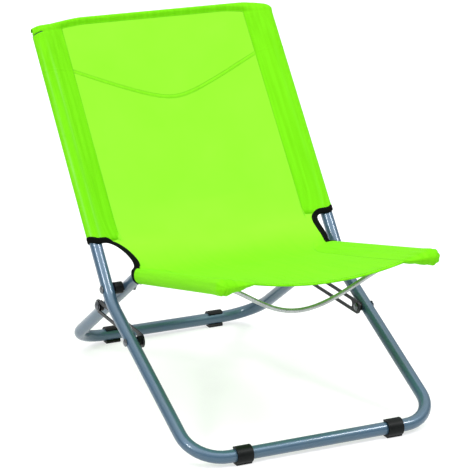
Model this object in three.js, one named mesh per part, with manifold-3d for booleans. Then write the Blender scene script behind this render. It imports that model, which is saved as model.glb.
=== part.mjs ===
// Low folding camp chair: two bent steel tube frames that cross at a pivot on each side,
// a slotted link on each side that limits how far they open, and a slung fabric seat.
// Millimetres. +X is the sitter's left, the chair faces -Y, +Z is up, the feet stand on z = 0.

import * as THREE from 'three';
import { mergeVertices } from 'three/addons/utils/BufferGeometryUtils.js';
import Module from 'manifold-3d';

const wasm = await Module();
wasm.setup();

// ---------------------------------------------------------------- driving dimensions

const GAP = 0.3; // left between pieces that touch
const TUBE_R = 11; // both frames are 22 mm tube
const TUBE_WALL = 1.2;
const BACK_HALF = 226; // centre of the back frame's tubes from the middle of the chair
const SEAT_HALF = 189; // the same for the seat frame, which runs inside the back frame

const RAIL_Z = 15.5; // centre height of both floor rails, set by the feet
const PIVOT = { y: 38, z: 204 }; // the two pivots that join the frames

const BACK_ANGLE = 51.8; // backrest tubes above the horizontal, degrees
const FRONT_LEG_ANGLE = 25.9;
const REAR_LEG_ANGLE = 34.0;
const SEAT_ANGLE = 13.3;

const KNEE_BELOW_PIVOT = 28; // along the backrest tube, from the pivot to the back frame's knee
const BACK_LENGTH = 524; // knee to tube end
const SEAT_BEND_PAST_PIVOT = 58; // along the rear leg's line, from the pivot to the seat bend
const SEAT_LENGTH = 354; // seat bend to tube end

const KNEE_RADIUS = 90;
const SEAT_BEND_RADIUS = 75;
const FRONT_CORNER_RADIUS = 62;
const REAR_CORNER_RADIUS = 72;

const ROD_R = 4; // both bows are 8 mm round rod
const TOP_BOW_RISE = 20; // crossbar above the tube ends, along the backrest
const TOP_BOW_SHOULDER = { half: 140, rise: 9 }; // it slopes down from here to this height over the tubes
const TOP_BOW_BENDS = [5, 150, 150, 5]; // radii at its two ends and its shoulders
const FRONT_BOW_AT = 278; // along the seat rail, from the seat bend
const FRONT_BOW_LOW = 5; // its ends enter this far below the rails' centre line
const FRONT_BOW_DROP = 73;
const FRONT_BOW_BACK = 27;

const RIVET_R = 3.2;
const RIVET_HEAD_R = 7;
const RIVET_HEAD_H = 3.2;

const LINK_FRONT_REACH = 121; // pivot to the link's rivet on the front leg
const LINK_REAR_REACH = 109; // pivot to the slot pin on the rear leg
const LINK_HALF_WIDTH = 12.5;
const LINK_THICKNESS = 2.5;
const SLOT_HALF_WIDTH = 6.6;
const SLOT_STARTS = 22; // from the link's rivet

const FOOT_WIDTH = 28;
const FOOT_R = 15.2;
const FRONT_FOOT_X = 140;
const REAR_FOOT_X = 106;

const CLOTH = 4; // thickness of the plain cloth solids
const CLOTH_SIDE_GAP = 3; // between a cloth solid and the tubes beside it

// ---------------------------------------------------------------- materials

function finish(color, roughness, metalness) {
  return new THREE.MeshStandardMaterial({ color, roughness, metalness });
}

const tubePaint = finish(0x5b7286, 0.32, 0.75);
const brightSteel = finish(0xc9ccd0, 0.28, 1.0);
const zincRivet = finish(0xb9bcc0, 0.4, 1.0);
const darkSteel = finish(0x2b2e33, 0.45, 0.6);
const blackPlastic = finish(0x16171a, 0.5, 0.0);
const greenCloth = finish(0x8ff23a, 0.85, 0.0);
const blackTape = finish(0x1b1c1e, 0.9, 0.0);

// ---------------------------------------------------------------- small geometry helpers

const rad = THREE.MathUtils.degToRad;

// A point in the side view: from a start point, a distance along a direction in degrees.
function along(start, angle, distance) {
  return {
    y: start.y + distance * Math.cos(rad(angle)),
    z: start.z + distance * Math.sin(rad(angle)),
  };
}

function at(x, p) {
  return new THREE.Vector3(x, p.y, p.z);
}

// A path through given points, each used as one station of a swept section.
class StationPath extends THREE.Curve {
  constructor(points) {
    super();
    this.points = points;
    this.steps = points.length - 1;
  }

  getPoint(t) {
    const s = t * this.steps;
    const i = Math.min(Math.floor(s + 1e-9), this.steps - 1);
    return this.points[i].clone().lerp(this.points[i + 1], s - i);
  }

  getPointAt(u) {
    return this.getPoint(u);
  }

  getTangentAt(u) {
    const i = Math.round(u * this.steps);
    const before = this.points[Math.max(i - 1, 0)];
    const after = this.points[Math.min(i + 1, this.steps)];
    return after.clone().sub(before).normalize();
  }
}

// Straight lines between corners, with a round bend of the given radius at each inner corner.
function bentLine(corners, radii, degreesPerStep = 11) {
  const points = [corners[0]];
  for (let i = 1; i < corners.length - 1; i += 1) {
    const back = corners[i - 1].clone().sub(corners[i]).normalize();
    const ahead = corners[i + 1].clone().sub(corners[i]).normalize();
    const turn = Math.PI - back.angleTo(ahead);
    const radius = radii[i - 1];
    const reach = radius * Math.tan(turn / 2);
    const centre = back.clone().add(ahead).normalize();
    centre.multiplyScalar(radius / Math.cos(turn / 2)).add(corners[i]);
    const start = corners[i].clone().addScaledVector(back, reach).sub(centre);
    const axis = ahead.clone().cross(back).normalize();
    const steps = Math.max(2, Math.ceil(THREE.MathUtils.radToDeg(turn) / degreesPerStep));
    for (let s = 0; s <= steps; s += 1) {
      points.push(start.clone().applyAxisAngle(axis, (turn * s) / steps).add(centre));
    }
  }
  points.push(corners[corners.length - 1]);
  return points;
}

function disc(radius, holeRadius = 0) {
  const shape = new THREE.Shape();
  shape.absarc(0, 0, radius, 0, 2 * Math.PI, false);
  if (holeRadius > 0) {
    const hole = new THREE.Path();
    hole.absarc(0, 0, holeRadius, 0, 2 * Math.PI, true);
    shape.holes.push(hole);
  }
  return shape;
}

function sweep(shape, points, halfTurnSides) {
  const path = new StationPath(points);
  return new THREE.ExtrudeGeometry(shape, {
    steps: path.steps,
    extrudePath: path,
    curveSegments: halfTurnSides,
  });
}

// An outline in the side view (shape x is Y, shape y is Z), given thickness along +X from x0.
function sidePlate(shape, x0, thickness, halfTurnSides = 10) {
  const geometry = new THREE.ExtrudeGeometry(shape, {
    depth: thickness,
    bevelEnabled: false,
    curveSegments: halfTurnSides,
  });
  const basis = new THREE.Matrix4().makeBasis(
    new THREE.Vector3(0, 1, 0),
    new THREE.Vector3(0, 0, 1),
    new THREE.Vector3(1, 0, 0),
  );
  geometry.applyMatrix4(basis);
  geometry.translate(x0, 0, 0);
  return geometry;
}

// A turned piece on an X axis. The profile lists [x, radius] and starts and ends on the axis,
// or closes on itself.
function turned(profile, centre, sides = 20) {
  const outline = profile.map(([x, r]) => new THREE.Vector2(r, x));
  const geometry = new THREE.LatheGeometry(outline, sides);
  geometry.rotateZ(-Math.PI / 2);
  geometry.translate(0, centre.y, centre.z);
  return geometry;
}

// A ring on an X axis between x0 and x1.
function ring(x0, x1, outer, inner, centre, sides = 20) {
  const profile = [
    [x0, inner],
    [x0, outer],
    [x1, outer],
    [x1, inner],
    [x0, inner],
  ];
  return turned(profile, centre, sides);
}

function mirrorX(geometry) {
  const mirrored = geometry.index ? geometry.toNonIndexed() : geometry.clone();
  mirrored.scale(-1, 1, 1);
  const position = mirrored.attributes.position;
  const swapped = new Float32Array(position.array.length);
  for (let t = 0; t < position.count; t += 3) {
    for (const [to, from] of [[0, 0], [1, 2], [2, 1]]) {
      for (let k = 0; k < 3; k += 1) {
        swapped[(t + to) * 3 + k] = position.array[(t + from) * 3 + k];
      }
    }
  }
  const result = new THREE.BufferGeometry();
  result.setAttribute('position', new THREE.BufferAttribute(swapped, 3));
  result.computeVertexNormals();
  return result;
}

// ---------------------------------------------------------------- boolean cuts

function toSolid(geometry) {
  const bare = geometry.clone();
  bare.deleteAttribute('normal');
  bare.deleteAttribute('uv');
  const merged = mergeVertices(bare, 1e-4);
  return new wasm.Manifold(
    new wasm.Mesh({
      numProp: 3,
      vertProperties: new Float32Array(merged.attributes.position.array),
      triVerts: new Uint32Array(merged.index.array),
    }),
  );
}

function fromSolid(solid) {
  const mesh = solid.getMesh();
  const geometry = new THREE.BufferGeometry();
  geometry.setAttribute('position', new THREE.BufferAttribute(new Float32Array(mesh.vertProperties), 3));
  geometry.setIndex(new THREE.BufferAttribute(new Uint32Array(mesh.triVerts), 1));
  geometry.computeVertexNormals();
  return geometry;
}

function cut(geometry, cutters) {
  let solid = toSolid(geometry);
  for (const cutter of cutters) {
    solid = solid.subtract(toSolid(cutter));
  }
  return fromSolid(solid);
}

// A drill along X between x0 and x1, through a side-view point.
function drill(x0, x1, radius, centre) {
  return turned([[x0, 0], [x0, radius], [x1, radius], [x1, 0]], centre, 16);
}

// ---------------------------------------------------------------- layout in the side view

const knee = along(PIVOT, BACK_ANGLE + 180, KNEE_BELOW_PIVOT);
const backTop = along(knee, BACK_ANGLE, BACK_LENGTH);
const frontLegLength = (knee.z - RAIL_Z) / Math.sin(rad(FRONT_LEG_ANGLE));
const frontRail = along(knee, FRONT_LEG_ANGLE + 180, frontLegLength);

const rearLegLength = (PIVOT.z - RAIL_Z) / Math.sin(rad(REAR_LEG_ANGLE));
const rearRail = along(PIVOT, -REAR_LEG_ANGLE, rearLegLength);
const seatBend = along(PIVOT, 180 - REAR_LEG_ANGLE, SEAT_BEND_PAST_PIVOT);
const seatFront = along(seatBend, 180 - SEAT_ANGLE, SEAT_LENGTH);

// The link's rivet is where the front leg is LINK_FRONT_REACH from the pivot.
const kneeTurn = rad(BACK_ANGLE - FRONT_LEG_ANGLE);
const pastKnee =
  Math.sqrt(LINK_FRONT_REACH ** 2 - (KNEE_BELOW_PIVOT * Math.sin(kneeTurn)) ** 2) -
  KNEE_BELOW_PIVOT * Math.cos(kneeTurn);
const linkPivot = along(knee, FRONT_LEG_ANGLE + 180, pastKnee);
const slotPin = along(PIVOT, -REAR_LEG_ANGLE, LINK_REAR_REACH);
const linkLength = Math.hypot(slotPin.y - linkPivot.y, slotPin.z - linkPivot.z);
const linkAngle = THREE.MathUtils.radToDeg(
  Math.atan2(slotPin.z - linkPivot.z, slotPin.y - linkPivot.y),
);

const BACK_INNER = BACK_HALF - TUBE_R; // where the space between the frames ends
const SEAT_OUTER = SEAT_HALF + TUBE_R; // where it starts
const LINK_X = (BACK_INNER + SEAT_OUTER) / 2;

// ---------------------------------------------------------------- tube frames

function backFrameTube() {
  const corners = [
    at(-BACK_HALF, backTop),
    at(-BACK_HALF, knee),
    at(-BACK_HALF, frontRail),
    at(BACK_HALF, frontRail),
    at(BACK_HALF, knee),
    at(BACK_HALF, backTop),
  ];
  const radii = [KNEE_RADIUS, FRONT_CORNER_RADIUS, FRONT_CORNER_RADIUS, KNEE_RADIUS];
  const tube = sweep(disc(TUBE_R, TUBE_R - TUBE_WALL), bentLine(corners, radii), 10);
  const holes = [];
  for (const side of [-1, 1]) {
    const x0 = side * (BACK_HALF - TUBE_R - 2);
    const x1 = side * (BACK_HALF + TUBE_R + 2);
    for (const place of [PIVOT, linkPivot]) {
      holes.push(drill(Math.min(x0, x1), Math.max(x0, x1), RIVET_R + GAP, place));
    }
  }
  return cut(tube, holes);
}

function frontBowEnd() {
  const onRail = along(seatBend, 180 - SEAT_ANGLE, FRONT_BOW_AT);
  return { y: onRail.y, z: onRail.z - FRONT_BOW_LOW };
}

function seatFrameTube() {
  const corners = [
    at(-SEAT_HALF, seatFront),
    at(-SEAT_HALF, seatBend),
    at(-SEAT_HALF, rearRail),
    at(SEAT_HALF, rearRail),
    at(SEAT_HALF, seatBend),
    at(SEAT_HALF, seatFront),
  ];
  const radii = [SEAT_BEND_RADIUS, REAR_CORNER_RADIUS, REAR_CORNER_RADIUS, SEAT_BEND_RADIUS];
  const tube = sweep(disc(TUBE_R, TUBE_R - TUBE_WALL), bentLine(corners, radii), 10);
  const holes = [];
  for (const side of [-1, 1]) {
    const inner = side * (SEAT_HALF - TUBE_R - 2);
    const outer = side * (SEAT_HALF + TUBE_R + 2);
    const middle = side * SEAT_HALF;
    for (const place of [PIVOT, slotPin]) {
      holes.push(drill(Math.min(inner, outer), Math.max(inner, outer), RIVET_R + GAP, place));
    }
    holes.push(drill(Math.min(inner, middle), Math.max(inner, middle), ROD_R + GAP, frontBowEnd()));
  }
  return cut(tube, holes);
}

// ---------------------------------------------------------------- bows

// The rod inside the top hem: its ends stand in the backrest tubes.
function topBowRod() {
  const insideTube = along(backTop, BACK_ANGLE, -20);
  const overTube = along(backTop, BACK_ANGLE, TOP_BOW_SHOULDER.rise);
  const crossbar = along(backTop, BACK_ANGLE, TOP_BOW_RISE);
  const corners = [
    at(-BACK_HALF, insideTube),
    at(-BACK_HALF, overTube),
    at(-TOP_BOW_SHOULDER.half, crossbar),
    at(TOP_BOW_SHOULDER.half, crossbar),
    at(BACK_HALF, overTube),
    at(BACK_HALF, insideTube),
  ];
  return sweep(disc(ROD_R), bentLine(corners, TOP_BOW_BENDS, 15), 6);
}

// The rod below the seat front: it leaves the rails level and dips down and back in the middle.
function frontBowRod() {
  const end = frontBowEnd();
  const reach = SEAT_HALF - TUBE_R;
  const inTube = 8;
  const points = [at(-reach - inTube, end)];
  const steps = 28;
  for (let i = 0; i <= steps; i += 1) {
    const t = -1 + (2 * i) / steps;
    const dip = (1 - t * t) ** 2;
    points.push(new THREE.Vector3(
      t * reach,
      end.y + FRONT_BOW_BACK * dip,
      end.z - FRONT_BOW_DROP * dip,
    ));
  }
  points.push(at(reach + inTube, end));
  return sweep(disc(ROD_R), points, 6);
}

// ---------------------------------------------------------------- plugs and bushings

// Turned along Z here, then leaned to the angle of the tube that it closes.
function leaned(profile, place, angle, side) {
  const outline = profile.map(([r, z]) => new THREE.Vector2(r, z));
  const geometry = new THREE.LatheGeometry(outline, 20);
  geometry.rotateX(Math.PI / 2); // the lathe turns about Y
  geometry.rotateX(-rad(90 - angle));
  geometry.translate(side, place.y, place.z);
  return geometry;
}

// A bushing in the end of a backrest tube, with the top bow's rod through it.
function topBushing(side) {
  const stem = TUBE_R - TUBE_WALL - GAP;
  const hole = ROD_R + GAP;
  const profile = [
    [hole, -14],
    [stem, -14],
    [stem, GAP],
    [TUBE_R, GAP],
    [TUBE_R, 2.5],
    [TUBE_R - 1.5, 4],
    [hole, 4],
    [hole, -14],
  ];
  return leaned(profile, backTop, BACK_ANGLE, side * BACK_HALF);
}

// A domed plug in the front end of a seat rail.
function railPlug(side) {
  const stem = TUBE_R - TUBE_WALL - GAP;
  const profile = [
    [0, -14],
    [stem, -14],
    [stem, GAP],
    [TUBE_R, GAP],
    [TUBE_R, 1.5],
    [TUBE_R - 1.8, 3.6],
    [TUBE_R - 5, 4.8],
    [0, 5.2],
  ];
  return leaned(profile, seatFront, 180 - SEAT_ANGLE, side * SEAT_HALF);
}

// ---------------------------------------------------------------- rivets, spacers and washers

// A rivet along X with a domed head outside each end, from x0 to x1 between the heads.
function rivet(x0, x1, centre) {
  const half = RIVET_HEAD_R * 0.72;
  const profile = [
    [x0 - RIVET_HEAD_H, 0],
    [x0 - RIVET_HEAD_H, 2.2],
    [x0 - RIVET_HEAD_H * 0.75, half],
    [x0 - 0.6, RIVET_HEAD_R],
    [x0, RIVET_HEAD_R],
    [x0, RIVET_R],
    [x1, RIVET_R],
    [x1, RIVET_HEAD_R],
    [x1 + 0.6, RIVET_HEAD_R],
    [x1 + RIVET_HEAD_H * 0.75, half],
    [x1 + RIVET_HEAD_H, 2.2],
    [x1 + RIVET_HEAD_H, 0],
  ];
  return turned(profile, centre);
}

function onSide(side, geometry) {
  return side > 0 ? geometry : mirrorX(geometry);
}

// Everything below is drawn for the +X side and mirrored for the other.
const BACK_OUTER = BACK_HALF + TUBE_R;
const SEAT_INNER = SEAT_HALF - TUBE_R;
const WASHER = 1.5;

function pivotRivet(side) {
  return onSide(side, rivet(SEAT_INNER - WASHER - 2 * GAP, BACK_OUTER + GAP, PIVOT));
}

function pivotWasher(side) {
  const x1 = SEAT_INNER - GAP;
  return onSide(side, ring(x1 - WASHER, x1, 8.5, RIVET_R + GAP, PIVOT));
}

function pivotSpacer(side) {
  return onSide(side, ring(SEAT_OUTER + GAP, BACK_INNER - GAP, 10.5, RIVET_R + GAP, PIVOT));
}

function linkRivet(side) {
  const inner = LINK_X - LINK_THICKNESS / 2 - GAP;
  return onSide(side, rivet(inner, BACK_OUTER + GAP, linkPivot));
}

function linkSpacer(side) {
  const x0 = LINK_X + LINK_THICKNESS / 2 + GAP;
  return onSide(side, ring(x0, BACK_INNER - GAP, 8, RIVET_R + GAP, linkPivot));
}

function slotPinRivet(side) {
  const outer = LINK_X + LINK_THICKNESS / 2 + WASHER + 2 * GAP;
  return onSide(side, rivet(SEAT_INNER - GAP, outer, slotPin));
}

function slotSpacer(side) {
  const x1 = LINK_X - LINK_THICKNESS / 2 - GAP;
  return onSide(side, ring(SEAT_OUTER + GAP, x1, 9.5, RIVET_R + GAP, slotPin));
}

function slotWasher(side) {
  const x0 = LINK_X + LINK_THICKNESS / 2 + GAP;
  return onSide(side, ring(x0, x0 + WASHER, 9.5, RIVET_R + GAP, slotPin));
}

// ---------------------------------------------------------------- slotted links

function slottedLink(side) {
  const slotEnd = linkLength + RIVET_R + GAP - SLOT_HALF_WIDTH;
  const shape = new THREE.Shape();
  const quarter = Math.PI / 2;
  const rearEnd = slotEnd + 1.5;
  shape.absarc(0, 0, LINK_HALF_WIDTH, quarter, 3 * quarter, false);
  shape.absarc(rearEnd, 0, LINK_HALF_WIDTH, -quarter, quarter, false);
  shape.closePath();
  const bore = new THREE.Path();
  bore.absarc(0, 0, RIVET_R + GAP, 0, 4 * quarter, true);
  const slot = new THREE.Path();
  slot.absarc(SLOT_STARTS, 0, SLOT_HALF_WIDTH, -quarter, quarter, true);
  slot.absarc(slotEnd, 0, SLOT_HALF_WIDTH, quarter, -quarter, true);
  slot.closePath();
  shape.holes.push(bore, slot);
  const plate = sidePlate(shape, LINK_X - LINK_THICKNESS / 2, LINK_THICKNESS);
  plate.rotateX(rad(linkAngle));
  plate.translate(0, linkPivot.y, linkPivot.z);
  return onSide(side, plate);
}

// ---------------------------------------------------------------- feet

// A clip that snaps over a floor rail from outside, with a flat sole. It opens towards +Y
// when opens is 1 and towards -Y when opens is -1.
function footClip(x, rail, opens) {
  const inner = TUBE_R + GAP;
  const jaw = rad(52);
  const shape = new THREE.Shape();
  const soleHalf = 7.5;
  shape.absarc(0, 0, FOOT_R, jaw, rad(236), false);
  shape.lineTo(-soleHalf, -RAIL_Z);
  shape.lineTo(soleHalf, -RAIL_Z);
  shape.lineTo(FOOT_R * Math.cos(jaw), -FOOT_R * Math.sin(jaw));
  shape.absarc(0, 0, inner, 2 * Math.PI - jaw, jaw, true);
  shape.closePath();
  const clip = sidePlate(shape, -FOOT_WIDTH / 2, FOOT_WIDTH, 11);
  if (opens < 0) {
    clip.rotateZ(Math.PI);
  }
  clip.translate(x, rail.y, rail.z);
  return clip;
}

// ---------------------------------------------------------------- cloth

// A strip of cloth between x0 and x1 that follows side-view points and is CLOTH thick.
function clothStrip(line, x0, x1) {
  const last = line.length - 1;
  const rows = line.map((p, i) => {
    const before = line[Math.max(i - 1, 0)];
    const after = line[Math.min(i + 1, last)];
    const run = new THREE.Vector2(after.y - before.y, after.z - before.z).normalize();
    const up = { y: (-run.y * CLOTH) / 2, z: (run.x * CLOTH) / 2 };
    return [
      new THREE.Vector3(x0, p.y - up.y, p.z - up.z),
      new THREE.Vector3(x1, p.y - up.y, p.z - up.z),
      new THREE.Vector3(x1, p.y + up.y, p.z + up.z),
      new THREE.Vector3(x0, p.y + up.y, p.z + up.z),
    ];
  });
  const corners = [];
  const quad = (a, b, c, d) => corners.push(a, b, c, a, c, d);
  for (let i = 0; i < last; i += 1) {
    for (let k = 0; k < 4; k += 1) {
      const n = (k + 1) % 4;
      quad(rows[i][k], rows[i + 1][k], rows[i + 1][n], rows[i][n]);
    }
  }
  quad(rows[0][0], rows[0][1], rows[0][2], rows[0][3]);
  quad(rows[last][3], rows[last][2], rows[last][1], rows[last][0]);
  const geometry = new THREE.BufferGeometry().setFromPoints(corners);
  geometry.computeVertexNormals();
  return geometry;
}

const BACK_CLOTH_FROM = 96; // along the backrest, from the pivot
const SEAT_CLOTH_FROM = 14; // along the seat rail, from the seat bend
const SEAT_CLOTH_RISE = 3; // above the rails' centre line, which keeps it off the bow's ends
const HIP_HALF = 167; // half width between the hip cut-outs
const BINDING_WIDTH = 7.5;
const HIP_CORNER = { angle: 66, reach: 52 }; // of the curve's corner, from the pivot

function backLine(distance) {
  return along(PIVOT, BACK_ANGLE, distance);
}

function seatLine(distance) {
  const onRail = along(seatBend, 180 - SEAT_ANGLE, distance);
  return along(onRail, 90 - SEAT_ANGLE, SEAT_CLOTH_RISE);
}

function backPanel() {
  const half = BACK_INNER - CLOTH_SIDE_GAP;
  const top = along(backTop, BACK_ANGLE, TOP_BOW_SHOULDER.rise - ROD_R - 2);
  return clothStrip([top, backLine(BACK_CLOTH_FROM)], -half, half);
}

function seatPanel() {
  const half = SEAT_INNER - CLOTH_SIDE_GAP;
  return clothStrip([seatLine(SEAT_CLOTH_FROM), seatLine(SEAT_LENGTH)], -half, half);
}

// The sling's side-view line between the hip cut-outs, from the backrest down to the seat.
function hipLine() {
  const from = backLine(BACK_CLOTH_FROM - 1);
  const corner = along(PIVOT, HIP_CORNER.angle, HIP_CORNER.reach);
  const to = seatLine(SEAT_CLOTH_FROM - 1);
  const curve = new THREE.QuadraticBezierCurve(
    new THREE.Vector2(from.y, from.z),
    new THREE.Vector2(corner.y, corner.z),
    new THREE.Vector2(to.y, to.z),
  );
  return curve.getPoints(8).map((p) => ({ y: p.x, z: p.y }));
}

function hipPanel() {
  return clothStrip(hipLine(), -HIP_HALF, HIP_HALF);
}

// The tape that binds the raw edge of a hip cut-out.
function hipBinding(side) {
  const strip = clothStrip(hipLine(), HIP_HALF + GAP, HIP_HALF + GAP + BINDING_WIDTH);
  return onSide(side, strip);
}

// ---------------------------------------------------------------- assembly

const chair = new THREE.Group();

function add(name, geometry, material) {
  const mesh = new THREE.Mesh(geometry, material);
  mesh.name = name;
  chair.add(mesh);
}

add('back_frame_tube', backFrameTube(), tubePaint);
add('seat_frame_tube', seatFrameTube(), tubePaint);
add('top_bow_rod', topBowRod(), brightSteel);
add('front_bow_rod', frontBowRod(), brightSteel);

for (const [word, side] of [['left', 1], ['right', -1]]) {
  add(`top_bushing_${word}`, topBushing(side), blackPlastic);
  add(`rail_plug_${word}`, railPlug(side), blackPlastic);
  add(`pivot_rivet_${word}`, pivotRivet(side), zincRivet);
  add(`pivot_washer_${word}`, pivotWasher(side), zincRivet);
  add(`pivot_spacer_${word}`, pivotSpacer(side), blackPlastic);
  add(`link_${word}`, slottedLink(side), darkSteel);
  add(`link_rivet_${word}`, linkRivet(side), zincRivet);
  add(`link_spacer_${word}`, linkSpacer(side), blackPlastic);
  add(`slot_pin_${word}`, slotPinRivet(side), zincRivet);
  add(`slot_spacer_${word}`, slotSpacer(side), blackPlastic);
  add(`slot_washer_${word}`, slotWasher(side), zincRivet);
  add(`front_foot_${word}`, footClip(side * FRONT_FOOT_X, frontRail, 1), blackPlastic);
  add(`rear_foot_${word}`, footClip(side * REAR_FOOT_X, rearRail, -1), blackPlastic);
  add(`hip_binding_${word}`, hipBinding(side), blackTape);
}

add('back_panel', backPanel(), greenCloth);
add('seat_panel', seatPanel(), greenCloth);
add('hip_panel', hipPanel(), greenCloth);

export default chair;
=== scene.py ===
"""Folding camp chair: the slung fabric, its tapes and stitching, and every finish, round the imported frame.

Metres. +X is the sitter's left, the chair faces -Y, +Z is up. "Along" the backrest is measured up from the
pivot and "along" the seat forward from the seat bend; "proud" is the distance from the tubes' centre plane
towards the sitter. R_ names count the sling's rows, I_ names its columns out from the middle.
"""

import math

import bmesh
import bpy
import numpy as np
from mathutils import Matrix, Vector, noise
from mathutils.bvhtree import BVHTree


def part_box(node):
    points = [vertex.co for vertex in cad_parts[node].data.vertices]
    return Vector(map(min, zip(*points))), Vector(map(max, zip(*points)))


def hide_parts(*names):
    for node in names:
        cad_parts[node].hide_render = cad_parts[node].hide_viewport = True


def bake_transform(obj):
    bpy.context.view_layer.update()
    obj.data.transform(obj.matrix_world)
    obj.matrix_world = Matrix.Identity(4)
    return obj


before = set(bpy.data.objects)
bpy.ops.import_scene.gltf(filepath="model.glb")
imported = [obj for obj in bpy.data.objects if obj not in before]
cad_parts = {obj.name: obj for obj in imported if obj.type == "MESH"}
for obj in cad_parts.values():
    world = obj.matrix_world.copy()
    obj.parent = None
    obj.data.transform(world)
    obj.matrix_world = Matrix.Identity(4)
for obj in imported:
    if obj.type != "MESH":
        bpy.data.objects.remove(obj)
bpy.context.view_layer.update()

# ---------------------------------------------------------------- layout, from the frame

TUBE_R = 0.011
BACK_ANGLE = math.radians(51.8)
SEAT_ANGLE = math.radians(13.3)
REAR_LEG_ANGLE = math.radians(34.0)
BEND_PAST_PIVOT = 0.058
BACK_TOP = 0.496  # along, to the tube ends
SEAT_FRONT = 0.354


def middle(node):
    low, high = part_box(node)
    return (low + high) / 2


PIVOT = middle("pivot_rivet_left")
BACK_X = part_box("back_frame_tube")[1].x - TUBE_R
SEAT_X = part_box("seat_frame_tube")[1].x - TUBE_R
BEND_Y = PIVOT.y - BEND_PAST_PIVOT * math.cos(REAR_LEG_ANGLE)
BEND_Z = PIVOT.z + BEND_PAST_PIVOT * math.sin(REAR_LEG_ANGLE)


def back_at(x, along, proud):
    x, along, proud = np.broadcast_arrays(x, along, proud)
    y = PIVOT.y + along * math.cos(BACK_ANGLE) - proud * math.sin(BACK_ANGLE)
    z = PIVOT.z + along * math.sin(BACK_ANGLE) + proud * math.cos(BACK_ANGLE)
    return np.stack([x, y, z], -1)


def seat_at(x, along, proud):
    x, along, proud = np.broadcast_arrays(x, along, proud)
    y = BEND_Y - along * math.cos(SEAT_ANGLE) + proud * math.sin(SEAT_ANGLE)
    z = BEND_Z + along * math.sin(SEAT_ANGLE) + proud * math.cos(SEAT_ANGLE)
    return np.stack([x, y, z], -1)


def back_step(along, proud):
    """A step along and proud of the backrest, as a vector."""
    return back_at(0.0, along, proud) - back_at(0.0, 0.0, 0.0)


def seat_step(along, proud):
    """A step along and proud of the seat, as a vector."""
    return seat_at(0.0, along, proud) - seat_at(0.0, 0.0, 0.0)


def smooth(t):
    """An even step from 0 to 1 with soft ends."""
    t = np.clip(t, 0.0, 1.0)
    return t * t * (3 - 2 * t)


def eased(values, rounds):
    """Values along a line, each drawn towards its neighbours, with both ends kept."""
    values = values.copy()
    for _ in range(rounds):
        values[1:-1] = (values[:-2] + 2 * values[1:-1] + values[2:]) / 4
    return values


# ---------------------------------------------------------------- the sling's lines

CLOTH_T = 0.0009
WRAP_R = TUBE_R + 0.0015  # the cloth's middle surface round a tube
BACK_SEAM = 0.181  # half distance between the sleeve seams
SEAT_SEAM = 0.137
BACK_RING = 0.0890  # along, where the back sleeves end
SEAT_RING = 0.0045  # along, where the seat sleeves begin
CORNER_SLIT = 0.0018  # between the hem and the sleeve below it, round the outside of the tube
CORNER_SLIT_FROM = 0.219
RETURN_INSET = 0.004  # a sleeve's back layer ends this far inside its seam
LAYER_GAP = 0.0016  # between the front and back layers where they are sewn together
FLAP_ENDS = 0.208  # the hem has no back layer further out
HEM_R = 0.0053  # the cloth's middle surface round the top bow
HEM_RISE = 0.020  # of the bow's centre above the tube ends
HEM_FLAP = 0.0085  # the stitching below the bow's centre
HEM_FALL = 0.0155  # of the line that the hem's rows are laid on, towards its ends
HEM_FALL_FROM = 0.175
HEM_FALL_OVER = 0.063
SHOULDER_FALL = 0.0145  # of the bow's shoulder, onto which they are then moved
SHOULDER_FROM = 0.14
SHOULDER_OVER = 0.1
HEAD_SEAM_LOW = 0.349  # along, the headrest seam in the middle
HEAD_SEAM_SLOPE = 0.47  # of its straight ends
HEAD_SEAM_BEND = 0.0199  # of the rounded turn between them
HEAD_SEAM_HALF = 0.0033  # half distance between its two rows
HEAD_SEAM_PAST = 0.006  # its slope goes on this far past the sleeves' seams

ARC_R = 0.2036  # of the sling's middle, between backrest and seat
ARC_FROM = 0.156  # along the backrest, where that arc begins
ARC_TO = 0.065  # along the seat, where it ends
ARC_TURN = BACK_ANGLE + SEAT_ANGLE
BACK_SAG = 0.006
SEAT_SAG = 0.015
SEAT_SAG_FROM = 0.02  # along the seat, where it begins
SEAT_RISE = 0.003  # of the seat's middle behind that
POCKET_END = 0.0115  # the closed sleeve ends past the rail ends
POCKET_TIP = 0.1  # the share of a sleeve's girth at its gathered tip

# The inner control points of the cut-out's cubic edge: (x, along, proud), off the backrest and the seat.
CUT_BACK = (0.185, 0.0987, -0.0151)
CUT_SEAT = (0.188, 0.0040, 0.0260)
CUT_FROM = 0.12  # the share of that curve taken in one step from the back sleeve's end
CUT_MARGIN = 0.014  # of cloth between the edge and the panel's last column, in the middle of the cut-out
MARGIN_FADE = 2.2  # how quickly that margin takes over from the sleeves' widths
TAKE_OFF = 0.75  # the share of the cut-out over which its edge leaves the plane of the back sleeve's face
BACK_LEAN = 0.0080  # the back sleeve reaches this much lower on the tube's inner side
SEAT_LEAN = 0.0225  # and the seat sleeve this much further back

# How many rows each stretch of the sling has, from the hem's stitching behind to the front edge.
HEM_BACK_ROWS = 5
HEM_ARC_ROWS = 10
ABOVE_HEAD = 12
HEAD_OFFSETS = (0.009, 0.006, 0.0045, HEAD_SEAM_HALF, 0.0015)  # of rows above and below the headrest seam
BELOW_HEAD = 39
HIP_ROWS = 32
SEAT_ROWS = 50

# Where the rows are changed afterwards: how many rows that reaches over, and its rounds of smoothing.
HEM_TOP_ROW = 9.5  # over the bow
HEM_TOP_REACH = 5
CORNER_REACH = 10
CORNER_ROUNDS = 12
EASE_REACH = 9
EASE_ROUNDS = 40


def hem_line(x):
    """Along the backrest, the top bow's centre at x."""
    over = np.clip((np.abs(x) - HEM_FALL_FROM) / HEM_FALL_OVER, 0.0, 1.0)
    return BACK_TOP + HEM_RISE - HEM_FALL * over**2.1


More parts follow.
